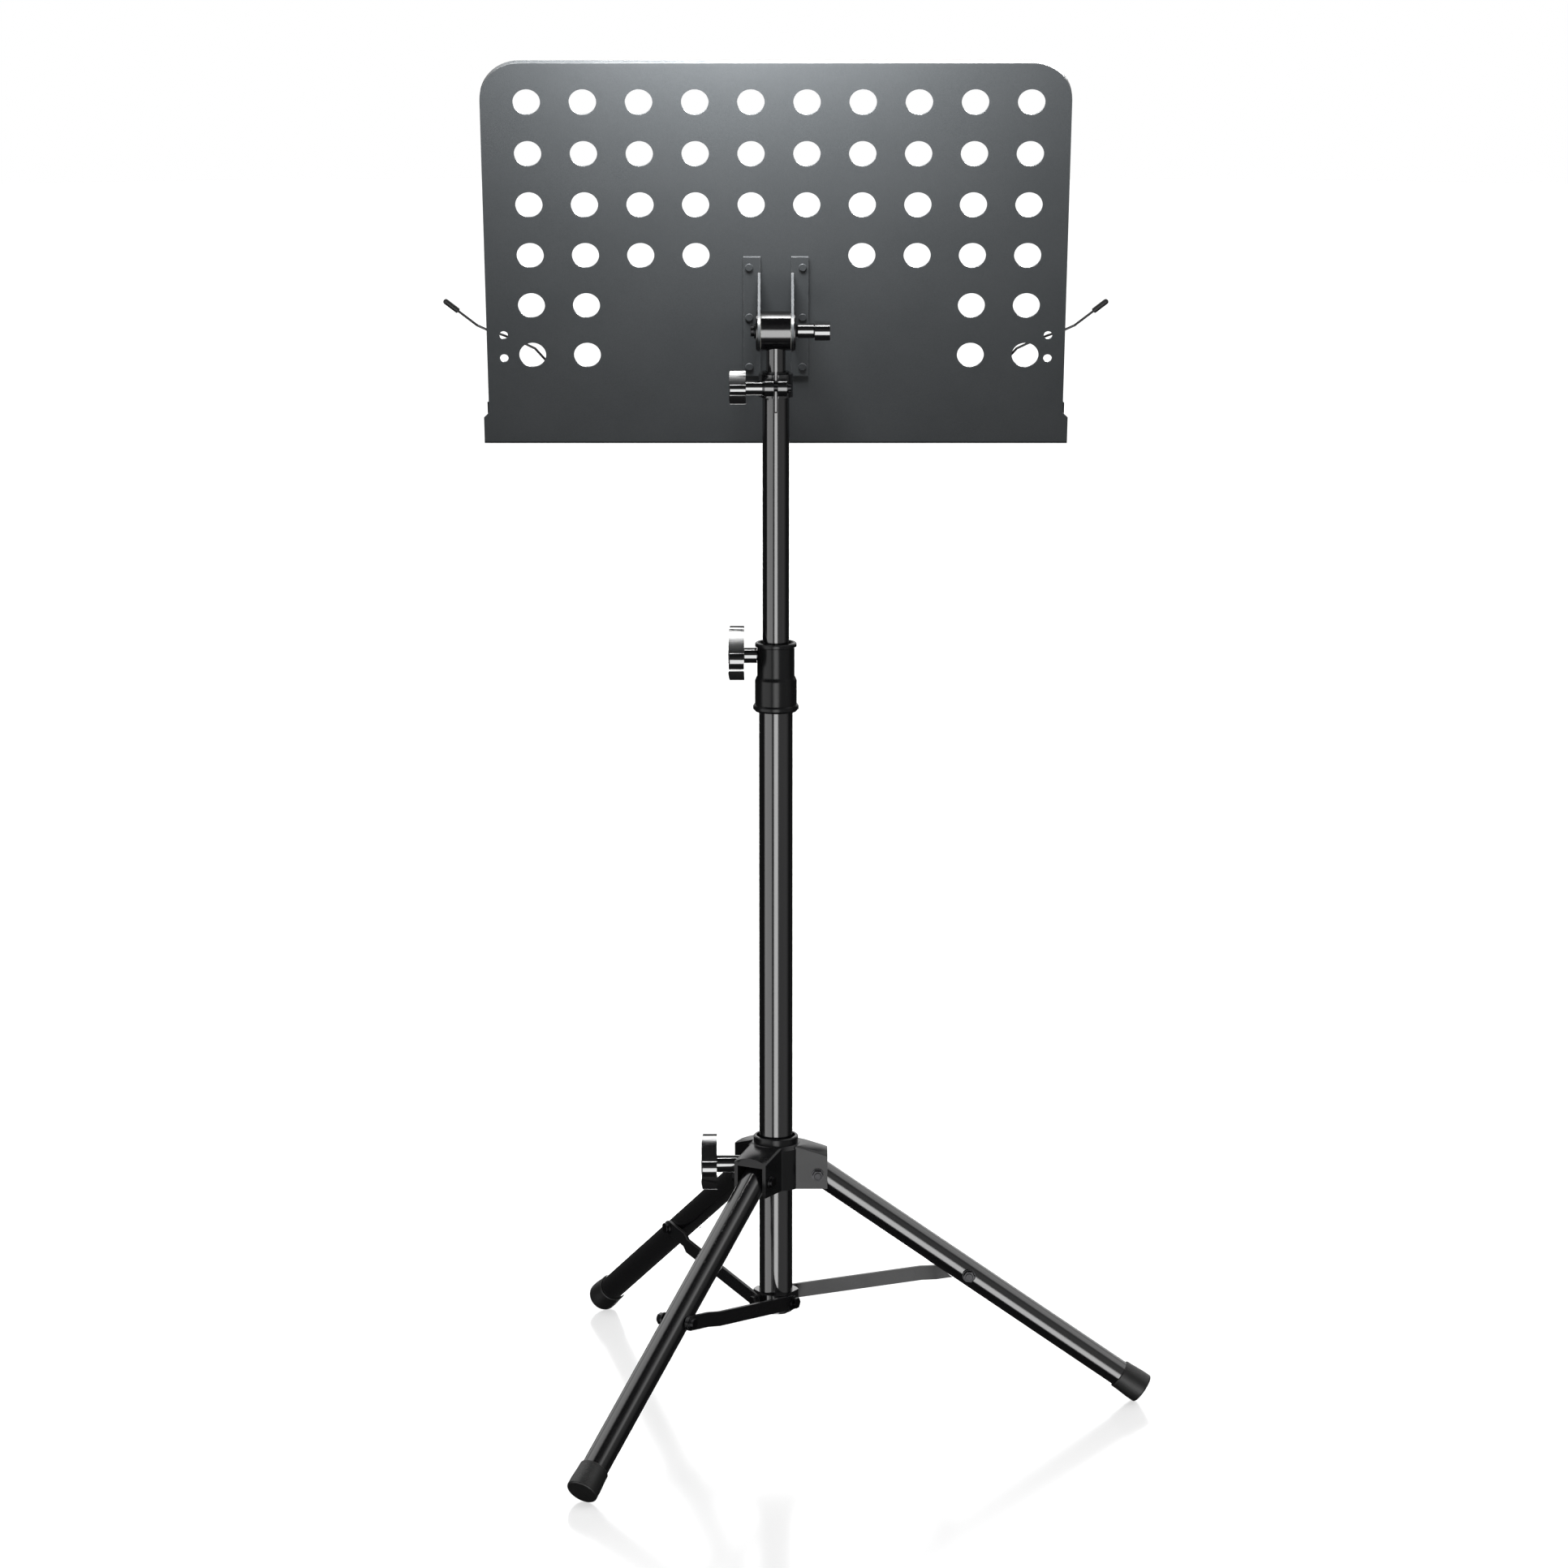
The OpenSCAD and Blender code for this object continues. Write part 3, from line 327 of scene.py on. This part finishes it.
# Width of each piece's rounded edges, in millimetres
EDGE_ROUNDING = {
    "desk_plate": 0.35, "desk_bracket_left": 0.4, "desk_bracket_right": 0.4, "bracket_rivets": 0.3,
    "tilt_barrel": 0.5, "tilt_cup_washers": 0.3, "tilt_knob": 1.2, "tilt_bolt": 0.4,
    "swivel_clamp": 0.8, "swivel_knob": 1.0, "height_collar": 0.35, "height_knob": 1.4,
    "tripod_hub": 1.5, "hub_bush": 0.35, "hub_knob": 1.4,
    "upper_tube": 0.3, "lower_tube": 0.3, "neck_rod": 0.3,
    "leg_a": 0.3, "leg_b": 0.3, "leg_c": 0.3, "foot_a": 0.4, "foot_b": 0.4, "foot_c": 0.4,
    "strut_a": 0.4, "strut_b": 0.4, "strut_c": 0.4, "strut_bracket": 0.6,
    "leg_pivot_bolts": 0.4, "leg_pivot_nuts": 0.35, "strut_bracket_bolts": 0.35,
    "leg_nut_a": 0.35, "leg_nut_b": 0.35, "leg_nut_c": 0.35,
    "strut_bolt_a": 0.35, "strut_bolt_b": 0.35, "strut_bolt_c": 0.35,
}
finished = {name: softened(name, rounding * MM) for name, rounding in EDGE_ROUNDING.items()}


# ---------------------------------------------------------------- floor, light and camera

FLOOR_RADIUS = 12.0
FLOOR_GREY = 0.32
FLOOR_GLOW = 0.62


def make_floor():
    """A pale, slightly glossy disc that the feet stand on; it glows to the camera and isn't reflected."""
    bpy.ops.object.select_all(action="DESELECT")
    bpy.ops.mesh.primitive_circle_add(vertices=128, radius=FLOOR_RADIUS, fill_type="NGON")
    floor = bpy.context.object
    floor.name = "studio_floor"
    material = bpy.data.materials.new("studio_floor")
    material.use_nodes = True
    shader = material.node_tree.nodes["Principled BSDF"]
    shader.inputs["Base Color"].default_value = (FLOOR_GREY, FLOOR_GREY, FLOOR_GREY, 1.0)
    shader.inputs["Roughness"].default_value = 0.15
    tree = material.node_tree
    seen = add_node(tree, "ShaderNodeLightPath").outputs["Is Camera Ray"]
    tree.links.new(math_node(tree, "MULTIPLY", seen, FLOOR_GLOW), shader.inputs["Emission Strength"])
    shader.inputs["Emission Color"].default_value = (1.0, 1.0, 1.0, 1.0)
    floor.data.materials.append(material)
    floor.visible_glossy = False


def soft_band(tree, angle, low, high, soft):
    """One between two angles in degrees, fading to zero over soft degrees outside them."""
    rise = spread(tree, angle, math.radians(low - soft), math.radians(low))
    fall = spread(tree, angle, math.radians(high + soft), math.radians(high))
    return math_node(tree, "MULTIPLY", rise, fall)


# Soft boxes round the stand, in degrees: radiance, left and right turn from the front, turn fade,
# low and high height, height fade
SOFT_BOXES = [
    (8.8, -9.0, 11.0, 7.0, -29.0, 6.0, 8.0),
    (3.2, -78.0, -30.0, 7.0, -33.0, 6.0, 10.0),
    (0.6, 22.0, 70.0, 30.0, -40.0, 30.0, 20.0),
    (2.4, -150.0, -75.0, 15.0, 40.0, 72.0, 12.0),
    (2.4, 75.0, 150.0, 15.0, 40.0, 72.0, 12.0),
    (6.0, 173.0, 180.0, 4.0, -29.0, -8.0, 6.0),
    (6.0, -180.0, -173.0, 4.0, -29.0, -8.0, 6.0),
    (1.7, 150.0, 180.0, 25.0, 13.0, 28.0, 12.0),
    (1.7, -180.0, -150.0, 25.0, 13.0, 28.0, 12.0),
]
BETWEEN_BOXES = 0.04
SEEN_BY_CAMERA = 1.0


def make_world():
    """White behind the stand; soft boxes and dark gaps for what its surfaces reflect."""
    world = bpy.data.worlds.new("studio")
    bpy.context.scene.world = world
    world.use_nodes = True
    tree = world.node_tree
    way = add_node(tree, "ShaderNodeTexCoord").outputs["Generated"]
    split = add_node(tree, "ShaderNodeSeparateXYZ")
    tree.links.new(way, split.inputs[0])
    front = math_node(tree, "MULTIPLY", split.outputs["Y"], -1.0)
    turn = math_node(tree, "ARCTAN2", split.outputs["X"], front)
    height = math_node(tree, "ARCSINE", split.outputs["Z"])
    total = None
    for radiance, left, right, turn_fade, low, high, height_fade in SOFT_BOXES:
        box = math_node(tree, "MULTIPLY", soft_band(tree, turn, left, right, turn_fade),
                        soft_band(tree, height, low, high, height_fade))
        lit = math_node(tree, "MULTIPLY", box, radiance)
        total = lit if total is None else math_node(tree, "ADD", total, lit)
    total = math_node(tree, "ADD", total, BETWEEN_BOXES)
    seen = add_node(tree, "ShaderNodeLightPath").outputs["Is Camera Ray"]
    mix = add_node(tree, "ShaderNodeMix", data_type="FLOAT")
    tree.links.new(seen, mix.inputs["Factor"])
    tree.links.new(total, mix.inputs[2])
    mix.inputs[3].default_value = SEEN_BY_CAMERA
    tree.links.new(mix.outputs[0], tree.nodes["Background"].inputs["Strength"])
    tree.nodes["Background"].inputs["Color"].default_value = (1.0, 1.0, 1.0, 1.0)
    world.cycles.sampling_method = "MANUAL"
    world.cycles.sample_map_resolution = 1024


CAMERA_PLACE = (0.0, -4.310, 1.398)
CAMERA_LOOKS_DOWN = 11.38
CAMERA_LENS = 122.44
CAMERA_SHIFT = 0.0052


def make_camera():
    """Behind the desk, a little above it, looking down on the stand."""
    data = bpy.data.cameras.new("camera")
    data.sensor_width = 36.0
    data.lens = CAMERA_LENS
    data.shift_x = CAMERA_SHIFT
    data.clip_end = 200.0
    camera = bpy.data.objects.new("camera", data)
    camera.location = CAMERA_PLACE
    camera.rotation_euler = (math.radians(90.0 - CAMERA_LOOKS_DOWN), 0.0, 0.0)
    bpy.context.scene.collection.objects.link(camera)
    bpy.context.scene.camera = camera


SHEET_PIECES = ("desk_plate", "desk_bracket_left", "desk_bracket_right", "bracket_rivets")


def light_sheet(name, place, target, width, height, power):
    """A soft light for the sheet pieces alone: the desk fades evenly and the tubes keep their dark sides."""
    data = bpy.data.lights.new(name, "AREA")
    data.shape = "RECTANGLE"
    data.size = width
    data.size_y = height
    data.energy = power
    light = bpy.data.objects.new(name, data)
    light.location = place
    light.rotation_euler = (Vector(target) - light.location).to_track_quat("-Z", "Y").to_euler()
    light.visible_camera = False
    bpy.context.scene.collection.objects.link(light)
    lit_only = bpy.data.collections.new("lit_by_" + name)
    for piece in SHEET_PIECES:
        lit_only.objects.link(finished[piece])
    light.light_linking.receiver_collection = lit_only


make_floor()
make_world()
make_camera()
light_sheet("desk_top_light", (-0.04, -0.20, 1.29), (0.0, -0.02, 1.08), 0.25, 0.12, 47.0)
light_sheet("reading_side_light", (0.45, 1.30, 1.75), (0.0, 0.05, 0.95), 0.9, 0.6, 110.0)
bpy.context.scene.view_settings.view_transform = "Standard"
